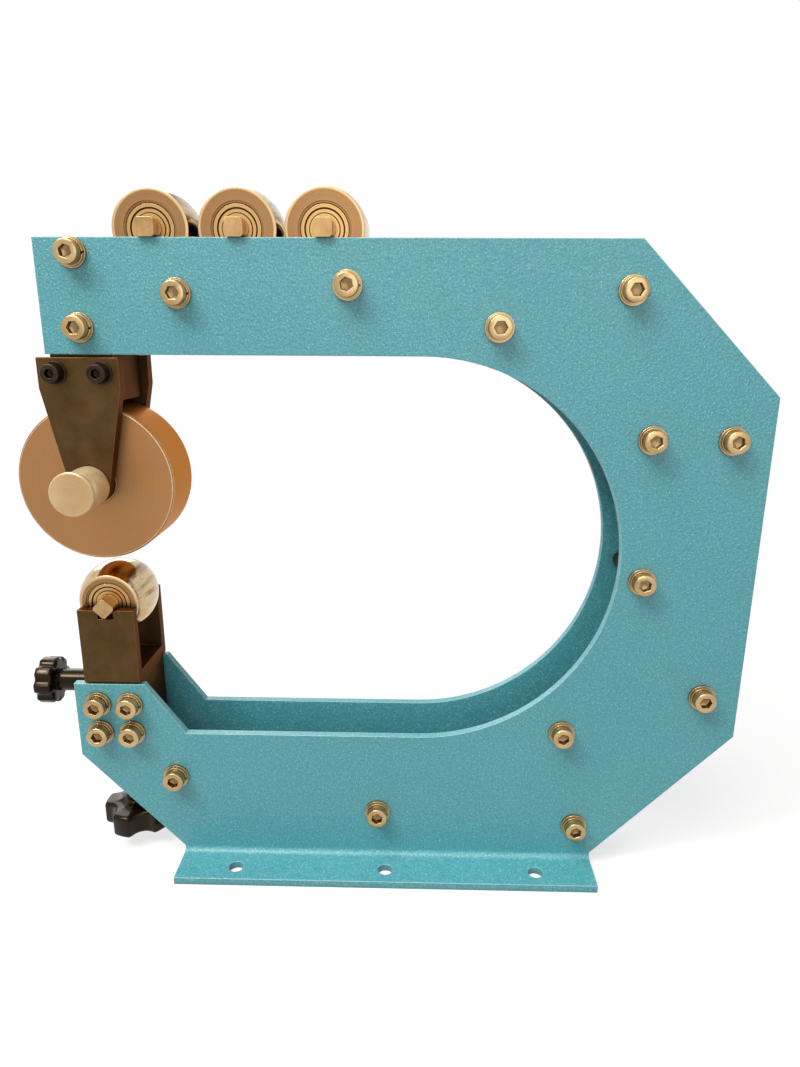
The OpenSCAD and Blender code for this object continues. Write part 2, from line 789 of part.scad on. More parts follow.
// Crowned anvil about the Z axis: an arc of the crown radius, with a bearing seat in each end
module anvil_body(crown_r) {
    anvil_r = anvil_d / 2;
    half = anvil_w / 2;
    seat_r = anvil_bearing_od / 2;
    lip_y = half - bearing_recess;
    seat_y = lip_y - anvil_bearing_w;
    end_r = anvil_r - crown_r + sqrt(crown_r * crown_r - half * half);
    bore_r = anvil_axle_d / 2 + anvil_bore_clear;
    rotate_extrude($fn = 128) difference() {
        intersection() {
            translate([anvil_r - crown_r, 0]) circle(crown_r, $fn = 256);
            polygon([
                [bore_r, -half], [end_r - anvil_edge, -half], [end_r + anvil_edge, anvil_edge - half],
                [anvil_r + overrun, anvil_edge - half], [anvil_r + overrun, half - anvil_edge],
                [end_r + anvil_edge, half - anvil_edge], [end_r - anvil_edge, half], [bore_r, half],
            ]);
        }
        for (s = [-1, 1]) translate([0, s * (seat_y + half) - half]) square([seat_r, anvil_w]);
        for (s = [-1, 1]) translate([0, s * (lip_y + half) - half]) square([seat_r + anvil_lip, anvil_w]);
    }
}

module bearing_inner_at(x, z) {
    at_bearings(x, z, anvil_bearing_y) inner_ring(anvil_axle_d, anvil_bearing_od, anvil_bearing_w);
}

module bearing_outer_at(x, z) {
    at_bearings(x, z, anvil_bearing_y) outer_ring(anvil_axle_d, anvil_bearing_od, anvil_bearing_w);
}

module bearing_balls_at(x, z) {
    at_bearings(x, z, anvil_bearing_y) ball_circle(anvil_axle_d, anvil_bearing_od);
}

module anvil_axle() { color([0.72, 0.62, 0.45]) anvil_axle_at(axis_x, anvil_z, 45); }

module anvil_inner_rings() { color([0.75, 0.7, 0.6]) bearing_inner_at(axis_x, anvil_z); }

module anvil_roller() { color([0.85, 0.83, 0.8]) facing(axis_x, 0, anvil_z) anvil_body(anvil_crown_r); }

module anvil_outer_rings() { color([0.75, 0.7, 0.6]) bearing_outer_at(axis_x, anvil_z); }

module anvil_balls() { color([0.8, 0.8, 0.8]) bearing_balls_at(axis_x, anvil_z); }

module spare_axle(i) { color([0.72, 0.62, 0.45]) anvil_axle_at(spare_x(i), spare_z, 0); }

module spare_inner_rings(i) { color([0.75, 0.7, 0.6]) bearing_inner_at(spare_x(i), spare_z); }

module spare_roller(i) {
    color([0.82, 0.76, 0.68]) facing(spare_x(i), 0, spare_z) anvil_body(spare_crown_rs[i - 1]);
}

module spare_outer_rings(i) { color([0.75, 0.7, 0.6]) bearing_outer_at(spare_x(i), spare_z); }

module spare_balls(i) { color([0.8, 0.8, 0.8]) bearing_balls_at(spare_x(i), spare_z); }

// Screw that lifts the post: a journal held by the swivel pins, the thread, and a stem in the handle
module adjuster_screw() {
    journal_top = post_low + journal_h;
    color([0.6, 0.58, 0.55]) translate([axis_x, 0, 0]) rotate_extrude() difference() {
        polygon([
            [0, star_low + insert_flange_t], [adjuster_d / 2 - edge_cut, star_low + insert_flange_t],
            [adjuster_d / 2, star_low + insert_flange_t + edge_cut], [adjuster_d / 2, post_low - seat_gap],
            [journal_d / 2, post_low - seat_gap], [journal_d / 2, journal_top], [0, journal_top],
        ]);
        translate([groove_d / 2, post_low + groove_up - groove_w / 2]) square([adjuster_d, groove_w]);
    }
}

// Plan of a lobed grip: a disc with a ring of round bites
module lobed(r, lobes, bite_r, bite_out) {
    difference() {
        circle(r);
        for (i = [0:lobes - 1]) rotate((i + 1 / 2) * 360 / lobes)
            translate([r + bite_out, 0]) circle(bite_r);
    }
}

// Half section that rounds the rims of a grip of radius r and height h
module soft_rim(r, h, edge) {
    square([r - edge, h]);
    translate([0, edge]) square([r, h - 2 * edge]);
    for (y = [edge, h - edge]) translate([r - edge, y]) circle(edge);
}

module star_handle() {
    bore_r = adjuster_d / 2 + insert_wall + seat_gap;
    color([0.1, 0.08, 0.06]) translate([axis_x, 0, star_low]) difference() {
        union() {
            intersection() {
                rotate([0, 0, star_turn]) linear_extrude(star_h)
                    lobed(star_r, star_lobes, star_cut_r, star_cut_out);
                rotate_extrude() soft_rim(star_r, star_h, star_round);
            }
            cylinder(d = star_hub_d, h = star_h + star_hub_h);
        }
        translate([0, 0, -overrun]) cylinder(r = bore_r, h = star_h + star_hub_h + 2 * overrun);
        translate([0, 0, -overrun])
            cylinder(r = bore_r + insert_flange, h = insert_flange_t + overrun);
    }
}

// Steel bush moulded into the star handle, with a closed flange underneath
module star_insert() {
    bush_r = adjuster_d / 2 + insert_wall;
    color([0.7, 0.68, 0.64]) translate([axis_x, 0, star_low]) {
        difference() {
            cylinder(r = bush_r, h = star_h + star_hub_h);
            translate([0, 0, insert_flange_t])
                cylinder(r = adjuster_d / 2 + seat_gap, h = star_h + star_hub_h);
        }
        cylinder(r = bush_r + insert_flange - seat_gap, h = insert_flange_t - seat_gap);
    }
}

// Brass pad that bears on the post, free to stay still while the stud turns
module lock_pad() {
    color([0.75, 0.6, 0.3]) translate([pad_x - pad_t, 0, lock_z]) rotate([0, 90, 0])
        cylinder(d = lock_d, h = pad_t);
}

// Threaded stud that pushes the pad
module lock_stud() {
    stud_end = pad_x - pad_t - seat_gap;
    stud_start = knob_x - knob_socket_depth;
    color([0.55, 0.53, 0.5]) translate([stud_start, 0, lock_z]) rotate([0, 90, 0])
        cylinder(d = lock_d, h = stud_end - stud_start);
}

module lock_knob() {
    color([0.07, 0.06, 0.05]) translate([knob_x, 0, lock_z]) rotate([0, -90, 0]) difference() {
        union() {
            cylinder(d = knob_hub_d, h = knob_hub_len + edge_cut);
            translate([0, 0, knob_hub_len]) intersection() {
                linear_extrude(knob_h) lobed(knob_r, knob_lobes, knob_cut_r, knob_cut_out);
                rotate_extrude() soft_rim(knob_r, knob_h, knob_round);
            }
        }
        translate([0, 0, -overrun])
            cylinder(r = lock_d / 2 + seat_gap, h = knob_socket_depth + overrun + seat_gap);
    }
}

front_plate();
rear_plate();
spacer_tubes();
frame_bolts();
spring_washers();
flat_washers();
frame_nuts();
head_block();
front_fork_plate();
rear_fork_plate();
fork_screws();
fork_washers();
axle_pin();
pin_clip();
axle_sleeve();
wheel_inner_rings();
guide_block();
guide_screws();
nut_plate();
nut_plate_screws();
upper_wheel();
wheel_outer_rings();
wheel_balls();
slide_post();
swivel_pins();
anvil_yoke();
yoke_screw();
anvil_axle();
anvil_inner_rings();
anvil_roller();
anvil_outer_rings();
anvil_balls();
adjuster_screw();
star_handle();
star_insert();
lock_pad();
lock_stud();
lock_knob();
spare_axle(1);  // spare_axle_1
spare_inner_rings(1);  // spare_inner_rings_1
spare_roller(1);  // spare_roller_1
spare_outer_rings(1);  // spare_outer_rings_1
spare_balls(1);  // spare_balls_1
spare_axle(2);  // spare_axle_2
spare_inner_rings(2);  // spare_inner_rings_2
spare_roller(2);  // spare_roller_2
spare_outer_rings(2);  // spare_outer_rings_2
spare_balls(2);  // spare_balls_2
spare_axle(3);  // spare_axle_3
spare_inner_rings(3);  // spare_inner_rings_3
spare_roller(3);  // spare_roller_3
spare_outer_rings(3);  // spare_outer_rings_3
spare_balls(3);  // spare_balls_3
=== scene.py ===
"""Looks of the english wheel: finishes, cut threads, rounded grips, studio and camera."""

import json
import math

import bmesh
import bpy
from mathutils import Matrix, Vector


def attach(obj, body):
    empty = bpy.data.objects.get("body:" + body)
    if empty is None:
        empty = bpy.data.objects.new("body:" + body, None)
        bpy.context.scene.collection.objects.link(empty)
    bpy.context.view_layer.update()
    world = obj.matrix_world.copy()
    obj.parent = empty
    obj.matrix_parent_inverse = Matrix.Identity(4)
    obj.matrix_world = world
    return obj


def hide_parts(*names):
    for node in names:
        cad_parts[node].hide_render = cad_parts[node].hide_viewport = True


MM = 0.001
QUARTER_TURN = math.tau / 4
WHITE = (1.0, 1.0, 1.0, 1.0)

# Stage: light of the surround on matt surfaces, and the distances between which the floor fades away
AMBIENT = 0.22
FLOOR_START = 0.42
FLOOR_END = 0.85

# Floor: the grey that lights matt surfaces, the grey that is seen, and the glow mixed into it by its share
FLOOR_BOUNCE = (0.3, 0.3, 0.3, 1.0)
FLOOR_GREY = (0.8, 0.8, 0.8, 1.0)
FLOOR_GLOW = 1.25
GLOW_SHARE = 0.55

# The point that all the lamps look at
LAMP_AIM = (0, 0, 0.25)

# Tool marks: how many to a metre of radius on an end face and of width on a side, and their unevenness
RING_MARKS = 900
SIDE_MARKS = 700
MARK_DETAIL = 4.0
MARK_ROUGHNESS = 0.7

# The middle parts of a cloudy noise and of tool marks, which tones are spread over
CLOUD_RANGE = (0.3, 0.7)
MARK_RANGE = (0.35, 0.65)

# How far a softened edge leans from the true face where wear and its painted highlight start and where they
# are full
PAINT_WEAR_AND_HIGHLIGHT = (0.02, 0.2)
METAL_WEAR_AND_HIGHLIGHT = (0.03, 0.3)
TURNED_WEAR_AND_HIGHLIGHT = (0.01, 0.1)

# How open a place is where the painted shade and dirt in corners are thickest and where they end
PAINT_SHELTER = (0.2, 0.8)
METAL_SHELTER = (0.15, 0.8)
TURNED_SHELTER = (0.1, 0.7)

# How far the painted shade and oil reach from the corners of turned parts, and how much of plain metal's dark
# tone its painted shade and dirt keep
SHADE_AND_OIL_REACH = 3 * MM
SHADE_AND_SOIL_TONE = 0.25

# How squarely a face looks along Y where a side gives way to an end face
END_FACE = (0.55, 0.75)

# Rays for each softened edge and each corner
SHADER_RAYS = 6

# Anvils: radius of the recess painted dark as shade around the bearings, width of the rim's painted
# highlight, depth of the end's edge, the width over which one finish gives way to the next, and how far the
# painted reflection streaks are drawn out along the crown
ANVIL_SHADED_RECESS = 16.7 * MM
ANVIL_RIM_HIGHLIGHT = 1.2 * MM
ANVIL_EDGE = 0.1 * MM
FINISH_FADE = 0.15 * MM
REFLECTION_STREAK_SQUEEZE = (1, 0.12, 1)

# Bearings: radius and half width of the oily seams beside the outer ring and beside the inner ring
OUTER_SEAM = (13.2 * MM, 0.6 * MM)
INNER_SEAM = (10.2 * MM, 0.3 * MM)

# Screws: radius of the shank and head, height of the head, width and depth of the socket, pitch of the thread
M10 = {
    "shank": 5 * MM,
    "head": 8 * MM,
    "height": 6.5 * MM,
    "socket": 8 * MM,
    "depth": 5 * MM,
    "pitch": 1.5 * MM,
}
M8 = {
    "shank": 4 * MM,
    "head": 6.5 * MM,
    "height": 8 * MM,
    "socket": 6 * MM,
    "depth": 5 * MM,
    "pitch": 1.25 * MM,
}

# Length of the frame bolts' cut thread, the length above which a screw goes through the whole frame, and the
# angle by which each screw is turned from the one before
BOLT_TAIL = 12 * MM
FRAME_WIDTH = 60 * MM
SCREW_SPIN = 0.7

# Screws, as shares: flat end and thread's bevel of the shank's radius, edge of the head's height, knurl of
# the head's radius, and the socket's mouth and drilled cone of its width
SHANK_END = 0.68
THREAD_BEVEL = 0.24
HEAD_EDGE = 0.09
KNURL_DEPTH = 0.03
SOCKET_MOUTH = 1.08
SOCKET_CONE = 0.2

# Heads, in edges: run-out of the knurl, depth of the socket's bevel, and drop and inset along the rounded top
KNURL_RUN = 0.3
SOCKET_BEVEL = 0.4
HEAD_ROUND = ((1, 0), (0.3, 0.5), (0, 1.2))

# Threads, in pitches: depth, and how far from the crest's middle the flank starts and ends
THREAD_DEPTH = 0.54
FLANK_START = 0.0625
FLANK_END = 0.375

# Axle pin, from the front fork plate's face outward
PIN_RADIUS = 8.5 * MM
PIN_NECK = 14.5 * MM
PIN_NECK_FLAT = 5 * MM
PIN_WAIST = 8 * MM
PIN_HEAD = 15.5 * MM
PIN_HEAD_HEIGHT = 4 * MM
PIN_LENGTH = 31 * MM
PIN_TAIL = 6 * MM
PIN_EDGE = 0.8 * MM
CLIP_WIDTH = 1.53 * MM
CLIP_DEPTH = 1 * MM

# Lifting screw, from its lower end upward, and the lock's stud
ADJUSTER_RADIUS = 8 * MM
ADJUSTER_PITCH = 2 * MM
JOURNAL_RADIUS = 6 * MM
JOURNAL_HEIGHT = 16.03 * MM
JOURNAL_EDGE = 0.6 * MM
NECK_RADIUS = 4.2 * MM
NECK_WIDTH = 4.6 * MM
NECK_DROP = 10 * MM
STUD_RADIUS = 5 * MM
STUD_PITCH = 1.5 * MM

# Both grips: edge of the hub as a share of its radius, and the share of the grip's radius that its lobes are
# rounded over
HUB_EDGE = 0.06
LOBE_SOFT = 0.12

# Star handle, from its underside upward
STAR_RADIUS = 29 * MM
STAR_LOBES = 5
STAR_BITE = 12.5 * MM
STAR_BITE_OUT = 5.5 * MM
STAR_TURN = math.radians(38)
STAR_EDGE = 3.5 * MM
STAR_HEIGHT = 20 * MM
STAR_HUB = 11 * MM
STAR_BORE = 10.03 * MM
STAR_RECESS = 13.03 * MM
STAR_RECESS_DEPTH = 1.5 * MM

# Rows of the star's sloping top, from 1 at its rim to 0 at its hub, and the power by which it steepens
STAR_SLOPE = (0.75, 0.5, 0.3, 0.15, 0.05, 0)
STAR_STEEPENING = 3

# Lock knob, from its hub's face outward
KNOB_RADIUS = 19 * MM
KNOB_LOBES = 8
KNOB_BITE = 4.6 * MM
KNOB_BITE_OUT = 2.2 * MM
KNOB_TURN = 0
KNOB_EDGE = 3 * MM
KNOB_HEIGHT = 14.5 * MM
KNOB_HUB = 9 * MM
KNOB_SOCKET = 5.03 * MM
KNOB_SOCKET_DEPTH = 16.03 * MM

# Mesh detail: angle above which an edge is sharp, distance below which two points are one, and counts
SHARP_DEGREES = 32
SAME_POINT = 0.001 * MM
ROWS_PER_TURN = 8
THREAD_COLUMNS = 48
GRIP_COLUMNS = 160
RIM_STEPS = 9
KNURL_TEETH = 32
COLUMNS_PER_TOOTH = 3
PIN_COLUMNS = 96
NECK_STEPS = 10

# The photograph's camera: focal length in pixels of the 800 by 1067 frame, place, and angles in radians
IMAGE_HEIGHT = 1067
FOCAL_PIXELS = 740
SENSOR_MM = 36
CAMERA_PLACE = (0.02085, -0.551, 0.42282)
CAMERA_YAW = -0.0209
CAMERA_PITCH = 0.2674
CAMERA_ROLL = 0.0054
CAMERA_NEAR = 10 * MM

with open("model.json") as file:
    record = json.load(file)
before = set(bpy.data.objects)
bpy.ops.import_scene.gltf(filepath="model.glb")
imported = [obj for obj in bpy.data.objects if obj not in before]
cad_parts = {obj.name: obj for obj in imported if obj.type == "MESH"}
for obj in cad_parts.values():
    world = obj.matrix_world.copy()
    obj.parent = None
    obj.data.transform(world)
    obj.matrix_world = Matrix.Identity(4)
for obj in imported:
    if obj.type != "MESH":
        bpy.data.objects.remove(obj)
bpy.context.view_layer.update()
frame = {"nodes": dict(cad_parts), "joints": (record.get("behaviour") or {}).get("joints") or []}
nodes = frame["nodes"]
joints = {joint["name"]: Vector(joint["pos_m"]) for joint in frame["joints"]}


class Shader:
    """A material under construction: its nodes and the Principled shader that they feed."""

    def __init__(self, name, **sockets):
        self.material = bpy.data.materials.new(name)
        self.material.use_nodes = True
        self.tree = self.material.node_tree
        self.surface = self.tree.nodes["Principled BSDF"]
        self.object_space = self.add("ShaderNodeTexCoord")
        for socket, value in sockets.items():
            self.surface.inputs[socket.replace("_", " ")].default_value = value

    def add(self, kind, inputs=None, **settings):
        """Adds a node. A value in inputs is a constant, or another node's output socket."""
        node = self.tree.nodes.new(kind)
        for name, value in settings.items():
            setattr(node, name, value)
        for key, value in (inputs or {}).items():
            self.feed(value, node.inputs[key])
        return node

    def feed(self, value, socket):
        """Links an output to an input socket, or sets the socket to a constant."""
        if isinstance(value, bpy.types.NodeSocket):
            self.tree.links.new(value, socket)
        else:
            socket.default_value = value

    def drive(self, **sockets):
        """Links outputs to sockets of the Principled shader."""
        for socket, value in sockets.items():
            self.feed(value, self.surface.inputs[socket.replace("_", " ")])

    def math(self, operation, first, second=0.0):
        """One step of arithmetic."""
        return self.add("ShaderNodeMath", {0: first, 1: second}, operation=operation).outputs[0]

    def spread(self, value, low, high, to_low=0.0, to_high=1.0):
        """Maps low..high to to_low..to_high, clamped."""
        inputs = {"Value": value, "From Min": low, "From Max": high, "To Min": to_low, "To Max": to_high}
        return self.add("ShaderNodeMapRange", inputs).outputs["Result"]

    def blend(self, share, first, second):
        """Mixes two colours."""
        node = self.add("ShaderNodeMix", data_type="RGBA")
        colours = [socket for socket in node.inputs if socket.type == "RGBA"]
        self.feed(share, node.inputs["Factor"])
        self.feed(first, colours[0])
        self.feed(second, colours[1])
        return next(socket for socket in node.outputs if socket.type == "RGBA")

    def noise(self, scale, detail, roughness=0.55, squeeze=(1, 1, 1)):
        """Noise in the object's own space.

        Scale is in features per metre, and a squeeze below 1 draws them out.
        """
        inputs = {0: self.object_space.outputs["Object"], 1: squeeze}
        place = self.add("ShaderNodeVectorMath", inputs, operation="MULTIPLY")
        inputs = {
            "Vector": place.outputs["Vector"],
            "Scale": scale,
            "Detail": detail,
            "Roughness": roughness,
        }
        return self.add("ShaderNodeTexNoise", inputs).outputs["Fac"]

    def rounded(self, radius):
        """Normal of the surface with its sharp edges softened."""
        return self.add("ShaderNodeBevel", {"Radius": radius}, samples=SHADER_RAYS).outputs["Normal"]

    def edges(self, normal, low, high):
        """How strongly a softened normal departs from the true one: 1 along edges, 0 on flats."""
        true = self.add("ShaderNodeNewGeometry").outputs["Normal"]
        dot = self.add("ShaderNodeVectorMath", {0: normal, 1: true}, operation="DOT_PRODUCT")
        return self.spread(self.math("SUBTRACT", 1.0, dot.outputs["Value"]), low, high)

    def bump(self, height, distance, strength, normal):
        """Normal with the relief of a height added to it."""
        inputs = {"Height": height, "Distance": distance, "Strength": strength, "Normal": normal}
        return self.add("ShaderNodeBump", inputs).outputs["Normal"]

    def crevices(self, distance):
        """1 in the open, towards 0 in corners and under washers, where shade falls."""
        inputs = {"Distance": distance}
        return self.add("ShaderNodeAmbientOcclusion", inputs, samples=SHADER_RAYS).outputs["AO"]

    def shaded_and_soiled(self, base, shade_and_dirt, amount, reach, shelter):
        """Base colour with painted shade and dirt in its corners, where shade falls. Amount is their share
        where they are thickest.
        """
        share = self.spread(self.crevices(reach), *shelter, to_low=amount, to_high=0.0)
        return self.blend(share, base, shade_and_dirt)

    def part(self, vector, axis):
        """One coordinate of a vector."""
        return self.add("ShaderNodeSeparateXYZ", {"Vector": vector}).outputs[axis]

    def radius_about(self, centre):
        """Distance from the axis along Y through centre."""
        inputs = {0: self.object_space.outputs["Object"], 1: centre}
        offset = self.add("ShaderNodeVectorMath", inputs, operation="SUBTRACT").outputs["Vector"]
        flat = self.add("ShaderNodeVectorMath", {0: offset, 1: (1, 0, 1)}, operation="MULTIPLY")
        length = self.add("ShaderNodeVectorMath", {0: flat.outputs["Vector"]}, operation="LENGTH")
        return length.outputs["Value"]

    def end_faces(self):
        """1 on faces that look along Y, 0 on faces that look across it."""
        across = self.part(self.object_space.outputs["Normal"], "Y")
        return self.spread(self.math("ABSOLUTE", across), *END_FACE)

    def beyond(self, radius, place, inside=0.0, outside=1.0):
        """Inside up to one radius and outside beyond it, with a narrow fade between."""
        return self.spread(radius, place - FINISH_FADE, place + FINISH_FADE, inside, outside)

    def seam(self, radius, place, half_width):
        """1 along a ring at one radius, 0 away from it."""
        off = self.math("ABSOLUTE", self.math("SUBTRACT", radius, place))
        return self.beyond(off, half_width, inside=1.0, outside=0.0)

    def stripes(self, value, scale):
        """Fine uneven lines along one value, such as tool marks along a radius."""
        inputs = {"W": value, "Scale": scale, "Detail": MARK_DETAIL, "Roughness": MARK_ROUGHNESS}
        return self.add("ShaderNodeTexNoise", inputs, noise_dimensions="1D").outputs["Fac"]


def rgb(red, green, blue):
    """A colour given in the 0 to 255 values of a picture, as linear light by the sRGB curve."""
    linear = [
        share / 12.92 if share <= 0.04045 else ((share + 0.055) / 1.055) ** 2.4
        for share in (red / 255, green / 255, blue / 255)
    ]
    return (*linear, 1.0)


# Dark brown of the oil and painted shade in the corners of turned parts
SHADE_AND_OIL = rgb(30, 20, 12)


def paint():
    """Satin teal paint: a fine orange peel, lighter along the edges with wear and a painted highlight, and
    with painted shade and dirt under the washers and in corners.
    """
    shader = Shader("plate_paint", Specular_IOR_Level=1.0, Specular_Tint=(1.0, 0.95, 0.9, 1.0))
    soft = shader.rounded(1.2 * MM)
    cloud = shader.noise(scale=9, detail=5)
    mottle = shader.noise(scale=420, detail=2)
    speck = shader.noise(scale=900, detail=1)
    deeper = shader.spread(mottle, low=0.35, high=0.7, to_high=0.6)
    paler = shader.spread(speck, low=0.58, high=0.7, to_high=0.6)
    base = shader.blend(shader.spread(cloud, *CLOUD_RANGE), rgb(70, 156, 167), rgb(78, 164, 173))
    base = shader.blend(deeper, base, rgb(50, 134, 148))
    base = shader.blend(paler, base, rgb(160, 208, 210))
    # Edges lighter with wear and a painted highlight
    base = shader.blend(shader.edges(soft, *PAINT_WEAR_AND_HIGHLIGHT), base, rgb(174, 214, 214))
    # Painted shade and dirt in corners and under the washers
    base = shader.shaded_and_soiled(base, rgb(28, 70, 80), amount=0.75, reach=6 * MM, shelter=PAINT_SHELTER)
    grain = shader.noise(scale=520, detail=1.5)
    peel = shader.bump(grain, distance=0.5 * MM, strength=0.9, normal=soft)
    rough = shader.spread(mottle, *CLOUD_RANGE, to_low=0.42, to_high=0.55)
    shader.drive(Base_Color=base, Normal=peel, Roughness=rough)
    return shader.material


def plain_metal(
    name,
    light,
    dark,
    roughness,
    edge=0.4 * MM,
    wear_and_highlight=None,
    metallic=1.0,
    glance=WHITE,
    shade_and_dirt=0.6,
    reach=4 * MM,
):
    """Metal with a cloudy tone, a fine grain and softened edges.

    The edge colour, if given, shows along the edges as wear and a painted highlight, glance tints the
    reflection at a low angle, a share darkens the corners with painted shade and dirt, and reach is how far
    that spreads from them.
    """
    shader = Shader(name, Metallic=metallic, Specular_Tint=glance)
    soft = shader.rounded(edge)
    cloud = shader.noise(scale=60, detail=6, roughness=0.65)
    base = shader.blend(shader.spread(cloud, *CLOUD_RANGE), dark, light)
    # Edges lighter with wear and a painted highlight
    if wear_and_highlight:
        base = shader.blend(shader.edges(soft, *METAL_WEAR_AND_HIGHLIGHT), base, wear_and_highlight)
    # Painted shade and dirt in the corners, sockets and under the heads
    corner_shade_and_soil = (*(SHADE_AND_SOIL_TONE * part for part in dark[:3]), 1.0)
    base = shader.shaded_and_soiled(base, corner_shade_and_soil, amount=shade_and_dirt, reach=reach, shelter=METAL_SHELTER)
    grain = shader.noise(scale=900, detail=3)
    fine = shader.bump(grain, distance=0.08 * MM, strength=0.4, normal=soft)
    shader.drive(Base_Color=base, Normal=fine, Roughness=shader.spread(cloud, *CLOUD_RANGE, *roughness))
    return shader.material


def turned_metal(
    name,
    centre,
    face,
    side,
    face_rough,
    side_rough,
    edge=0.5 * MM,
    metallic=1.0,
    glance=WHITE,
    shade_and_dirt=0.7,
):
    """Metal turned about a Y axis: rings of tool marks on the end faces and fine lines round the side.

    Face and side are each the two tones of their marks, glance tints the reflection at a low angle, and a
    share darkens the corners with painted shade and oil.
    """
    shader = Shader(name, Metallic=metallic, Specular_Tint=glance)
    soft = shader.rounded(edge)
    ends = shader.end_faces()
    across = shader.part(shader.object_space.outputs["Object"], "Y")
    radius = shader.radius_about(centre)
    rings = shader.stripes(radius, RING_MARKS)
    lines = shader.stripes(across, SIDE_MARKS)
    cloud = shader.noise(scale=35, detail=5)
    stain = shader.spread(cloud, low=0.35, high=0.75, to_high=0.3)
    face_tone = shader.blend(shader.spread(rings, *MARK_RANGE), *face)
    side_tone = shader.blend(shader.spread(lines, *MARK_RANGE), *side)
    base = shader.blend(ends, side_tone, face_tone)
    base = shader.blend(stain, base, side[0])
    # Edges lighter with wear and a painted highlight along the chamfers
    base = shader.blend(shader.edges(soft, *TURNED_WEAR_AND_HIGHLIGHT), base, rgb(250, 232, 200))
    # Painted shade and oil in the corners
    base = shader.shaded_and_soiled(base, SHADE_AND_OIL, amount=shade_and_dirt, reach=SHADE_AND_OIL_REACH, shelter=TURNED_SHELTER)
    cut = shader.blend(ends, lines, rings)
    fine = shader.bump(cut, distance=0.05 * MM, strength=0.25, normal=soft)
    rough = shader.spread(ends, 0.0, 1.0, side_rough, face_rough)
    shader.drive(Base_Color=base, Normal=fine, Roughness=rough)
    return shader.material


def end_radius(name, centre):
    """Radius of a roller's end face about a Y axis."""
    points = [vertex.co for vertex in nodes[name].data.vertices]
    end = min(point.y for point in points) + ANVIL_EDGE
    return max(math.hypot(point.x - centre.x, point.z - centre.z) for point in points if point.y < end)


def polished_roller(name, centre):
    """Polished anvil: painted shade in the recess and a painted highlight on the rim of its ground end faces,
    painted reflection streaks in brown and copper along its crown.
    """
    shader = Shader(f"polished_{name}", Metallic=1.0)
    soft = shader.rounded(0.5 * MM)
    ends = shader.end_faces()
    radius = shader.radius_about(centre)
    rings = shader.stripes(radius, RING_MARKS)
    face = shader.blend(shader.spread(rings, *MARK_RANGE), rgb(160, 121, 80), rgb(146, 109, 72))
    # Painted highlight on the chamfered rim of the end face
    rim = shader.beyond(radius, end_radius(name, centre) - ANVIL_RIM_HIGHLIGHT)
    face = shader.blend(rim, face, rgb(204, 172, 128))
    # Painted shade in the recess around the bearing
    recess_shade = shader.beyond(radius, ANVIL_SHADED_RECESS, inside=0.9, outside=0.0)
    face = shader.blend(recess_shade, face, rgb(62, 40, 22))
    # Painted reflections: dark brown and copper streaks along the crown
    reflection_streaks = shader.noise(scale=70, detail=4, squeeze=REFLECTION_STREAK_SQUEEZE)
    dark_reflection = shader.spread(reflection_streaks, low=0.5, high=0.62, to_high=0.8)
    side = shader.blend(dark_reflection, rgb(204, 180, 142), rgb(74, 50, 30))
    copper_reflection = shader.spread(reflection_streaks, low=0.46, high=0.36, to_high=0.7)
    side = shader.blend(copper_reflection, side, rgb(206, 148, 90))
    base = shader.blend(ends, side, face)
    # Painted shade and oil in the corners
    base = shader.shaded_and_soiled(base, SHADE_AND_OIL, amount=0.7, reach=SHADE_AND_OIL_REACH, shelter=TURNED_SHELTER)
    fine = shader.bump(rings, distance=0.05 * MM, strength=0.15, normal=soft)
    rough = shader.spread(ends, 0.0, 1.0, to_low=0.14, to_high=0.36)
    shader.drive(Base_Color=base, Normal=fine, Roughness=rough)
    return shader.material


def bearing_steel(name, centre):
    """Golden bearing rings and balls about a Y axis, with oil in the seams beside the rings, wear and a
    painted highlight along the edges, and painted shade in the corners.
    """
    shader = Shader(f"bearing_{name}", Metallic=1.0)
    soft = shader.rounded(0.3 * MM)
    radius = shader.radius_about(centre)
    rings = shader.stripes(radius, RING_MARKS)
    base = shader.blend(shader.spread(rings, *MARK_RANGE), rgb(206, 168, 110), rgb(186, 146, 92))
    # Edges lighter with wear and a painted highlight
    base = shader.blend(shader.edges(soft, *METAL_WEAR_AND_HIGHLIGHT), base, rgb(250, 226, 180))
    seams = shader.math("MAXIMUM", shader.seam(radius, *OUTER_SEAM), shader.seam(radius, *INNER_SEAM))
    base = shader.blend(seams, base, rgb(58, 34, 16))
    # Painted shade and oil in the corners
    base = shader.shaded_and_soiled(base, rgb(40, 24, 12), amount=0.8, reach=SHADE_AND_OIL_REACH, shelter=TURNED_SHELTER)
    fine = shader.bump(rings, distance=0.05 * MM, strength=0.15, normal=soft)
    rough = shader.spread(rings, *MARK_RANGE, to_low=0.26, to_high=0.34)
    shader.drive(Base_Color=base, Normal=fine, Roughness=rough)
    return shader.material


def moulded_plastic():
    """Glossy black plastic with a faint moulded grain."""
    shader = Shader("knob_plastic", Specular_IOR_Level=0.25, Specular_Tint=(1.0, 0.75, 0.5, 1.0))
    soft = shader.rounded(1.0 * MM)
    cloud = shader.noise(scale=80, detail=5)
    base = shader.blend(shader.spread(cloud, *CLOUD_RANGE), rgb(10, 7, 4), rgb(18, 12, 7))
    grain = shader.noise(scale=1500, detail=2)
    fine = shader.bump(grain, distance=0.05 * MM, strength=0.3, normal=soft)
    rough = shader.spread(cloud, *CLOUD_RANGE, to_low=0.13, to_high=0.2)
    shader.drive(Base_Color=base, Normal=fine, Roughness=rough)
    return shader.material


def dress(material, *names):
    """Gives CAD nodes a material."""
    for name in names:
        node = nodes[name]
        node.data.materials.clear()
        node.data.materials.append(material)


def spares(kind):
    """Names of one kind of piece in the three spare anvils."""
    return [f"spare_{kind}_{number}" for number in (1, 2, 3)]


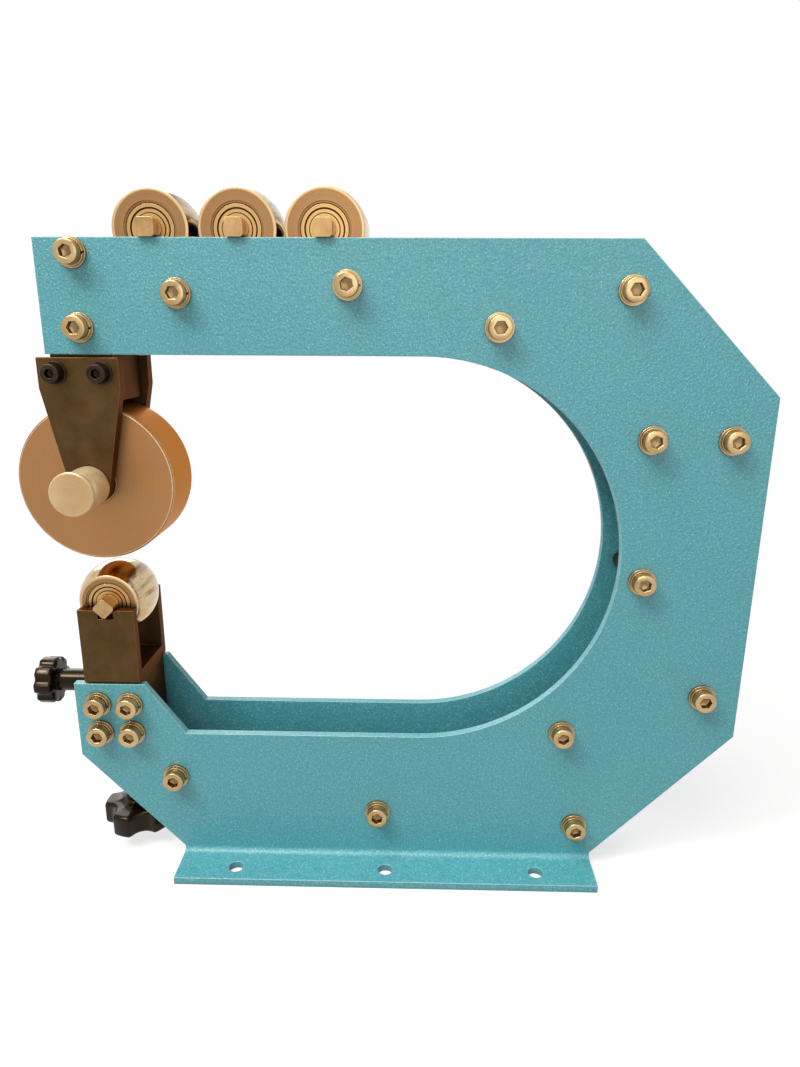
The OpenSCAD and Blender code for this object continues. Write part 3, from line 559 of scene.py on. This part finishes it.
# Each edge colour below is wear and a painted highlight, and each share of dirt darkens corners with painted
# shade and dirt
blackened = plain_metal(
    "dark_steel",
    light=rgb(92, 70, 43),
    dark=rgb(74, 56, 33),
    roughness=(0.42, 0.52),
    edge=0.8 * MM,
    wear_and_highlight=rgb(150, 104, 60),
    glance=(0.8, 0.5, 0.5, 1.0),
)
zinc = plain_metal(
    "yellow_zinc",
    light=rgb(200, 174, 130),
    dark=rgb(166, 135, 90),
    roughness=(0.24, 0.36),
    edge=0.5 * MM,
    wear_and_highlight=rgb(250, 228, 188),
    shade_and_dirt=0.95,
    reach=7 * MM,
)
steel = plain_metal(
    "plain_steel",
    light=rgb(190, 186, 178),
    dark=rgb(150, 146, 138),
    roughness=(0.25, 0.4),
    wear_and_highlight=rgb(220, 216, 208),
)
axle = plain_metal(
    "axle_steel",
    light=rgb(196, 160, 112),
    dark=rgb(160, 122, 80),
    roughness=(0.3, 0.45),
    wear_and_highlight=rgb(236, 206, 156),
)
oxide = plain_metal(
    "black_oxide",
    light=rgb(62, 47, 32),
    dark=rgb(40, 30, 20),
    roughness=(0.3, 0.45),
    wear_and_highlight=rgb(150, 116, 80),
    metallic=0.8,
    shade_and_dirt=0.95,
    reach=7 * MM,
)
tube = plain_metal(
    "spacer_black",
    light=rgb(52, 34, 24),
    dark=rgb(34, 22, 16),
    roughness=(0.4, 0.55),
    metallic=0.6,
)
plastic = moulded_plastic()
brass = plain_metal(
    "pad_brass",
    light=rgb(216, 178, 96),
    dark=rgb(180, 140, 70),
    roughness=(0.25, 0.4),
)
wheel_axis = joints["upper_wheel_spin"]
pin = turned_metal(
    "pin_steel",
    wheel_axis,
    face=(rgb(200, 165, 119), rgb(192, 157, 111)),
    side=(rgb(250, 230, 186), rgb(244, 216, 164)),
    face_rough=0.4,
    side_rough=0.28,
    edge=0.3 * MM,
    metallic=0.5,
    shade_and_dirt=0.3,
)
wheel = turned_metal(
    "wheel_steel",
    wheel_axis,
    face=(rgb(164, 123, 83), rgb(156, 116, 77)),
    side=(rgb(186, 118, 52), rgb(172, 106, 44)),
    face_rough=0.45,
    side_rough=0.38,
    edge=1.1 * MM,
    glance=(0.87, 0.71, 0.55, 1.0),
)

dress(paint(), "front_plate", "rear_plate")
dress(blackened, "head_block", "front_fork_plate", "rear_fork_plate")
dress(blackened, "guide_block", "nut_plate", "anvil_yoke")
dress(zinc, "spring_washers", "flat_washers", "frame_nuts")
dress(oxide, "fork_washers", "nut_plate_screws", "yoke_screw", "pin_clip")
dress(tube, "spacer_tubes")
dress(steel, "axle_sleeve", "slide_post", "swivel_pins", "star_insert")
dress(axle, "anvil_axle", *spares("axle"))
dress(brass, "lock_pad")
dress(wheel, "upper_wheel")
dress(bearing_steel("wheel", wheel_axis), "wheel_inner_rings", "wheel_outer_rings", "wheel_balls")
for stem, number in (("anvil", ""), ("spare", "_1"), ("spare", "_2"), ("spare", "_3")):
    roller = f"{stem}_roller{number}"
    axis = joints[f"{stem}_spin{number}"]
    dress(polished_roller(roller, axis), roller)
    bearings = [f"{stem}_{kind}{number}" for kind in ("inner_rings", "outer_rings", "balls")]
    dress(bearing_steel(f"{stem}{number}", axis), *bearings)


def revolve(name, rows, columns, loop=False):
    """Mesh about Z from rows of (height, radius).

    A radius may be a function of the angle, and 0 is a pole. A loop joins the last row to the first.
    """
    angles = [math.tau * column / columns for column in range(columns)]
    vertices, rings = [], []
    for height, radius in rows:
        if radius == 0:
            rings.append([len(vertices)] * columns)
            vertices.append((0, 0, height))
            continue
        rings.append(range(len(vertices), len(vertices) + columns))
        for angle in angles:
            reach = radius(angle) if callable(radius) else radius
            vertices.append((reach * math.cos(angle), reach * math.sin(angle), height))
    uppers = rings[1:] + rings[:1] if loop else rings[1:]
    faces = []
    for low, high in zip(rings, uppers):
        for column in range(columns):
            beside = (column + 1) % columns
            corners = (low[column], low[beside], high[beside], high[column])
            faces.append(list(dict.fromkeys(corners)))
    mesh = bpy.data.meshes.new(name)
    mesh.from_pydata(vertices, [], faces)
    mesh.shade_smooth()
    mesh.set_sharp_from_angle(angle=math.radians(SHARP_DEGREES))
    return mesh


def solids(name):
    """Lowest and highest corner of each separate solid in a CAD node."""
    mesh = bmesh.new()
    mesh.from_mesh(nodes[name].data)
    bmesh.ops.remove_doubles(mesh, verts=mesh.verts, dist=SAME_POINT)
    left, boxes = set(mesh.verts), []
    while left:
        group, front = [], [left.pop()]
        while front:
            vertex = front.pop()
            group.append(vertex.co.copy())
            beside = {edge.other_vert(vertex) for edge in vertex.link_edges} & left
            left -= beside
            front.extend(beside)
        boxes.append(tuple(Vector(map(pick, zip(*group))) for pick in (min, max)))
    mesh.free()
    return sorted(boxes, key=lambda box: tuple(box[0]))


def put(name, mesh, places, body, material, node):
    """One piece made of a mesh at several places. It rides on a body and stands for a CAD node."""
    joined = bmesh.new()
    for place in places:
        copy = mesh.copy()
        copy.transform(place)
        joined.from_mesh(copy)
        bpy.data.meshes.remove(copy)
    bmesh.ops.recalc_face_normals(joined, faces=joined.faces)
    joined.to_mesh(mesh)
    joined.free()
    mesh.materials.append(material)
    item = bpy.data.objects.new(name, mesh)
    bpy.context.scene.collection.objects.link(item)
    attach(item, body)
    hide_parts(node)


def hexagon(flat):
    """Radius of a hexagon of that width across its flats, as a function of the angle."""
    sixth = math.tau / 6
    return lambda angle: flat / 2 / math.cos(angle % sixth - sixth / 2)


def knurl(radius, teeth, depth):
    """Radius of a straight knurl."""
    return lambda angle: radius - depth * abs(2 * (angle * teeth / math.tau % 1) - 1)


def groove(height, radius, pitch):
    """Radius of a thread at one height: flat crests and roots with straight flanks."""

    def reach(angle):
        phase = (height / pitch - angle / math.tau) % 1
        off_crest = min(phase, 1 - phase)
        cut = (off_crest - FLANK_START) / (FLANK_END - FLANK_START)
        return radius - THREAD_DEPTH * pitch * min(1.0, max(0.0, cut))

    return reach


def thread(low, high, radius, pitch, bevel):
    """Rows of a thread from low to high, with its first and last turns bevelled."""
    count = math.ceil((high - low) / pitch * ROWS_PER_TURN)
    rows = []
    for step in range(count + 1):
        height = low + (high - low) * step / count
        from_end = min(height - low, high - height)
        rows.append((height, groove(height, radius - max(0.0, bevel - from_end), pitch)))
    return rows


def screw_shank(length, tail, shank, pitch):
    """Rows of a screw's shank from its end at -length up to the head at 0."""
    rows = [(-length, 0), (-length, SHANK_END * shank)]
    if tail:
        rows += thread(-length, tail - length, shank, pitch, THREAD_BEVEL * shank)
    return rows + [(tail - length, shank), (0, shank)]


def screw_head(head, height, socket, depth):
    """Rows of a knurled head from 0 up to its height, and back down into its hexagon socket."""
    edge = HEAD_EDGE * height
    run = KNURL_RUN * edge
    knurled = knurl(head, KNURL_TEETH, KNURL_DEPTH * head)
    rows = [(0, head - edge), (edge, head), (edge + run, knurled)]
    rows += [(height - 2 * edge, knurled), (height - 2 * edge + run, head)]
    rows += [(height - drop * edge, head - inset * edge) for drop, inset in HEAD_ROUND]
    rows += [(height, hexagon(SOCKET_MOUTH * socket)), (height - SOCKET_BEVEL * edge, hexagon(socket))]
    rows += [(height - depth, hexagon(socket)), (height - depth - SOCKET_CONE * socket, 0)]
    return rows


def screw_places(boxes, height):
    """Where each screw's head meets its seat, turned to look out of the frame."""
    places = []
    for index, (low, high) in enumerate(boxes):
        front = low.y + high.y < 0 or high.y - low.y > FRAME_WIDTH
        middle = (low + high) / 2
        seat = low.y + height if front else high.y - height
        turn = Matrix.Rotation(QUARTER_TURN if front else -QUARTER_TURN, 4, "X")
        spin = Matrix.Rotation(index * SCREW_SPIN, 4, "Z")
        places.append(Matrix.Translation((middle.x, seat, middle.z)) @ turn @ spin)
    return places


def screws(node, material, size, tail=0.0):
    """Cut screws that fill the boxes of the CAD screws. Tail is the length of the thread that is cut."""
    boxes = solids(node)
    low, high = boxes[0]
    height = size["height"]
    rows = screw_shank(high.y - low.y - height, tail, size["shank"], size["pitch"])
    rows += screw_head(size["head"], height, size["socket"], size["depth"])
    mesh = revolve(f"{node}_cut", rows, KNURL_TEETH * COLUMNS_PER_TOOTH)
    put(f"{node}_cut", mesh, screw_places(boxes, height), "frame", material, node)


def lobe(radius, count, bite, out, turn):
    """Radius of a moulded grip: a disc with round bites and softly rounded lobes."""
    away = radius + out
    soft = LOBE_SOFT * radius

    def reach(angle, inset):
        step = math.tau / count
        off = (angle - turn) % step - step / 2
        inside = bite * bite - (away * math.sin(off)) ** 2
        valley = away * math.cos(off) - math.sqrt(inside) if inside > 0 else away
        # Smooth minimum of the disc and the bite
        blend = max(0.0, 1 - abs(radius - valley) / soft)
        return min(radius, valley) - soft * blend * blend / 4 - inset

    return reach


def inset_row(reach, inset):
    """Lobed outline moved inward."""
    return lambda angle: reach(angle, inset)


def towards(reach, inset, hub, share):
    """Radius part of the way from a hub, at share 0, to an inset lobed outline, at share 1."""
    return lambda angle: hub + (reach(angle, inset) - hub) * share


def rounded_rim(reach, low, high, edge):
    """Rows up the side of a grip, with both rims rounded."""
    rim = []
    for step in range(RIM_STEPS + 1):
        turn = QUARTER_TURN * step / RIM_STEPS
        rim.append((edge * (1 - math.sin(turn)), inset_row(reach, edge * (1 - math.cos(turn)))))
    rows = [(low + drop, row) for drop, row in reversed(rim)]
    return rows + [(high - drop, row) for drop, row in rim]


def neck_row(share):
    """Height and radius on the pin's neck.

    It curves in from its flat, at share 0, to its waist, at share 1.
    """
    run = PIN_LENGTH - PIN_HEAD_HEIGHT - PIN_NECK_FLAT
    turn = share * QUARTER_TURN
    return PIN_NECK_FLAT + run * math.sin(turn), PIN_WAIST + (PIN_NECK - PIN_WAIST) * math.cos(turn)


def turned_pin():
    """The wheel's axle pin: a thin round head on a curved neck, and the groove of its clip at the back."""
    low, high = solids("axle_pin")[0]
    back = PIN_LENGTH - (high.y - low.y)
    clip = back + PIN_TAIL
    under = PIN_LENGTH - PIN_HEAD_HEIGHT
    rows = [(back, 0), (back, PIN_RADIUS - PIN_EDGE), (back + PIN_EDGE, PIN_RADIUS)]
    rows += [(clip - CLIP_WIDTH, PIN_RADIUS), (clip - CLIP_WIDTH, PIN_RADIUS - CLIP_DEPTH)]
    rows += [(clip, PIN_RADIUS - CLIP_DEPTH), (clip, PIN_RADIUS), (0, PIN_RADIUS)]
    rows += [(0, PIN_NECK - PIN_EDGE), (PIN_EDGE, PIN_NECK)]
    rows += [neck_row(step / NECK_STEPS) for step in range(NECK_STEPS + 1)]
    rows += [(under, PIN_HEAD - PIN_EDGE), (under + PIN_EDGE, PIN_HEAD), (PIN_LENGTH - PIN_EDGE, PIN_HEAD)]
    rows += [(PIN_LENGTH, PIN_HEAD - PIN_EDGE), (PIN_LENGTH, 0)]
    middle = (low + high) / 2
    seat = Matrix.Translation((middle.x, low.y + PIN_LENGTH, middle.z))
    mesh = revolve("turned_pin", rows, PIN_COLUMNS)
    place = seat @ Matrix.Rotation(QUARTER_TURN, 4, "X")
    put("turned_pin", mesh, [place], "frame", pin, "axle_pin")


def lifting_screw():
    """The adjuster's thread, and above it the plain journal with its groove."""
    low, high = solids("adjuster_screw")[0]
    top = high.z - low.z
    shoulder = top - JOURNAL_HEIGHT
    neck_low = top - NECK_DROP - NECK_WIDTH / 2
    neck_high = top - NECK_DROP + NECK_WIDTH / 2
    rows = [(0, 0), *thread(0, shoulder, ADJUSTER_RADIUS, ADJUSTER_PITCH, ADJUSTER_PITCH)]
    rows += [(shoulder, JOURNAL_RADIUS), (neck_low, JOURNAL_RADIUS), (neck_low, NECK_RADIUS)]
    rows += [(neck_high, NECK_RADIUS), (neck_high, JOURNAL_RADIUS)]
    rows += [(top - JOURNAL_EDGE, JOURNAL_RADIUS), (top, JOURNAL_RADIUS - JOURNAL_EDGE), (top, 0)]
    place = Matrix.Translation(((low.x + high.x) / 2, 0, low.z))
    mesh = revolve("adjuster_thread", rows, THREAD_COLUMNS)
    put("adjuster_thread", mesh, [place], "adjuster", steel, "adjuster_screw")


def lock_thread():
    """The lock's stud, threaded from end to end."""
    low, high = solids("lock_stud")[0]
    length = high.x - low.x
    rows = [(0, 0), *thread(0, length, STUD_RADIUS, STUD_PITCH, STUD_PITCH), (length, 0)]
    seat = Matrix.Translation((low.x, 0, (low.z + high.z) / 2))
    mesh = revolve("lock_thread", rows, THREAD_COLUMNS)
    place = seat @ Matrix.Rotation(QUARTER_TURN, 4, "Y")
    put("lock_thread", mesh, [place], "lock_knob", steel, "lock_stud")


def star_grip():
    """Star handle: rounded lobes whose tops rise to the hub, and the recess of its steel bush underneath."""
    low, high = solids("star_handle")[0]
    top = high.z - low.z
    reach = lobe(STAR_RADIUS, STAR_LOBES, STAR_BITE, STAR_BITE_OUT, STAR_TURN)
    edge = HUB_EDGE * STAR_HUB
    rows = [(STAR_RECESS_DEPTH, STAR_BORE), (STAR_RECESS_DEPTH, STAR_RECESS), (0, STAR_RECESS)]
    rows += rounded_rim(reach, 0, STAR_HEIGHT, STAR_EDGE)
    for share in STAR_SLOPE:
        rise = STAR_EDGE * (1 - share) ** STAR_STEEPENING
        rows.append((STAR_HEIGHT + rise, towards(reach, STAR_EDGE, STAR_HUB, share)))
    rows += [(top - edge, STAR_HUB), (top, STAR_HUB - edge), (top, STAR_BORE)]
    place = Matrix.Translation((joints["adjuster_turn"].x, 0, low.z))
    mesh = revolve("star_grip", rows, GRIP_COLUMNS, loop=True)
    put("star_grip", mesh, [place], "adjuster", plastic, "star_handle")


def lock_grip():
    """Fluted lock knob on a round hub, with the socket that holds its stud."""
    low, high = solids("lock_knob")[0]
    top = high.x - low.x
    shoulder = top - KNOB_HEIGHT
    reach = lobe(KNOB_RADIUS, KNOB_LOBES, KNOB_BITE, KNOB_BITE_OUT, KNOB_TURN)
    edge = HUB_EDGE * KNOB_HUB
    rows = [(KNOB_SOCKET_DEPTH, 0), (KNOB_SOCKET_DEPTH, KNOB_SOCKET), (0, KNOB_SOCKET)]
    rows += [(0, KNOB_HUB - edge), (edge, KNOB_HUB), (shoulder, KNOB_HUB)]
    rows += [*rounded_rim(reach, shoulder, top, KNOB_EDGE), (top, 0)]
    seat = Matrix.Translation((high.x, 0, joints["lock_turn"].z))
    mesh = revolve("lock_grip", rows, GRIP_COLUMNS)
    place = seat @ Matrix.Rotation(-QUARTER_TURN, 4, "Y")
    put("lock_grip", mesh, [place], "lock_knob", plastic, "lock_knob")


screws("frame_bolts", zinc, M10, BOLT_TAIL)
screws("guide_screws", zinc, M10)
screws("fork_screws", oxide, M8)
turned_pin()
lifting_screw()
lock_thread()
star_grip()
lock_grip()


def plane(name, corners):
    """Flat stage piece from its corners."""
    mesh = bpy.data.meshes.new(name)
    mesh.from_pydata(corners, [], [range(len(corners))])
    item = bpy.data.objects.new(name, mesh)
    bpy.context.scene.collection.objects.link(item)
    return item


def floor_material():
    """Pale floor that fades out around the object. It gives matt surfaces less light than it shows."""
    shader = Shader("floor", Base_Color=FLOOR_BOUNCE, Roughness=0.9, Specular_IOR_Level=0.0)
    rays = shader.add("ShaderNodeLightPath").outputs
    matt = shader.add("ShaderNodeBsdfDiffuse", {"Color": FLOOR_GREY}).outputs[0]
    glow = shader.add("ShaderNodeEmission", {"Color": WHITE, "Strength": FLOOR_GLOW}).outputs[0]
    seen = shader.add("ShaderNodeMixShader", {0: GLOW_SHARE, 1: matt, 2: glow}).outputs[0]
    sharp = shader.math("MAXIMUM", rays["Is Camera Ray"], rays["Is Glossy Ray"])
    inputs = {0: sharp, 1: shader.surface.outputs[0], 2: seen}
    ground = shader.add("ShaderNodeMixShader", inputs).outputs[0]
    inputs = {0: shader.object_space.outputs["Object"]}
    away = shader.add("ShaderNodeVectorMath", inputs, operation="LENGTH").outputs["Value"]
    fade = shader.spread(away, FLOOR_START, FLOOR_END)
    clear = shader.add("ShaderNodeBsdfTransparent").outputs[0]
    faded = shader.add("ShaderNodeMixShader", {0: fade, 1: ground, 2: clear}).outputs[0]
    shader.feed(faded, shader.tree.nodes["Material Output"].inputs["Surface"])
    return shader.material


def surround():
    """White surround, full to the camera and in reflections, faint on matt surfaces."""
    world = bpy.data.worlds.new("surround")
    world.use_nodes = True
    bpy.context.scene.world = world
    tree = world.node_tree
    rays = tree.nodes.new("ShaderNodeLightPath")
    seen = rays.outputs["Is Camera Ray"]
    for kind in ("Is Glossy Ray", "Is Transmission Ray"):
        either = tree.nodes.new("ShaderNodeMath")
        either.operation = "MAXIMUM"
        tree.links.new(seen, either.inputs[0])
        tree.links.new(rays.outputs[kind], either.inputs[1])
        seen = either.outputs[0]
    strength = tree.nodes.new("ShaderNodeMapRange")
    strength.inputs["To Min"].default_value = AMBIENT
    strength.inputs["To Max"].default_value = 1.0
    tree.links.new(seen, strength.inputs["Value"])
    background = tree.nodes["Background"]
    background.inputs["Color"].default_value = WHITE
    tree.links.new(strength.outputs["Result"], background.inputs["Strength"])


def lamp(name, place, size, power, colour):
    """Soft square lamp that looks at the object."""
    light = bpy.data.lights.new(name, "AREA")
    light.size = size
    light.energy = power
    light.color = colour
    item = bpy.data.objects.new(name, light)
    item.location = place
    item.rotation_mode = "QUATERNION"
    item.rotation_quaternion = (Vector(LAMP_AIM) - Vector(place)).to_track_quat("-Z", "Y")
    bpy.context.scene.collection.objects.link(item)


def studio():
    """Pale floor, white surround and soft lamps."""
    reach = FLOOR_END
    floor = plane("floor", [(-reach, -reach, 0), (reach, -reach, 0), (reach, reach, 0), (-reach, reach, 0)])
    floor.data.materials.append(floor_material())
    surround()
    lamp("key", place=(-0.9, -1.15, 2.8), size=2.0, power=88, colour=(1.0, 0.98, 0.95))
    lamp("accent", place=(-1.7, -1.3, 2.7), size=0.5, power=26, colour=(1.0, 0.95, 0.88))
    lamp("fill", place=(0.5, -2.4, 0.9), size=1.6, power=12, colour=WHITE[:3])
    lamp("back", place=(-1.3, 2.3, 1.5), size=1.8, power=30, colour=WHITE[:3])


def camera():
    """The photograph's camera."""
    across = Vector((math.cos(CAMERA_YAW), -math.sin(CAMERA_YAW), 0))
    level = math.cos(CAMERA_PITCH)
    ahead = Vector((math.sin(CAMERA_YAW) * level, math.cos(CAMERA_YAW) * level, -math.sin(CAMERA_PITCH)))
    up = across.cross(ahead)
    roll_cos, roll_sin = math.cos(CAMERA_ROLL), math.sin(CAMERA_ROLL)
    right = roll_cos * across + roll_sin * up
    top = roll_cos * up - roll_sin * across
    data = bpy.data.cameras.new("camera")
    data.sensor_width = SENSOR_MM
    data.lens = FOCAL_PIXELS / IMAGE_HEIGHT * SENSOR_MM
    data.clip_start = CAMERA_NEAR
    item = bpy.data.objects.new("camera", data)
    turn = Matrix((right, top, -ahead)).transposed().to_4x4()
    item.matrix_world = Matrix.Translation(CAMERA_PLACE) @ turn
    bpy.context.scene.collection.objects.link(item)
    bpy.context.scene.camera = item


studio()
camera()
bpy.context.scene.view_settings.view_transform = "Standard"
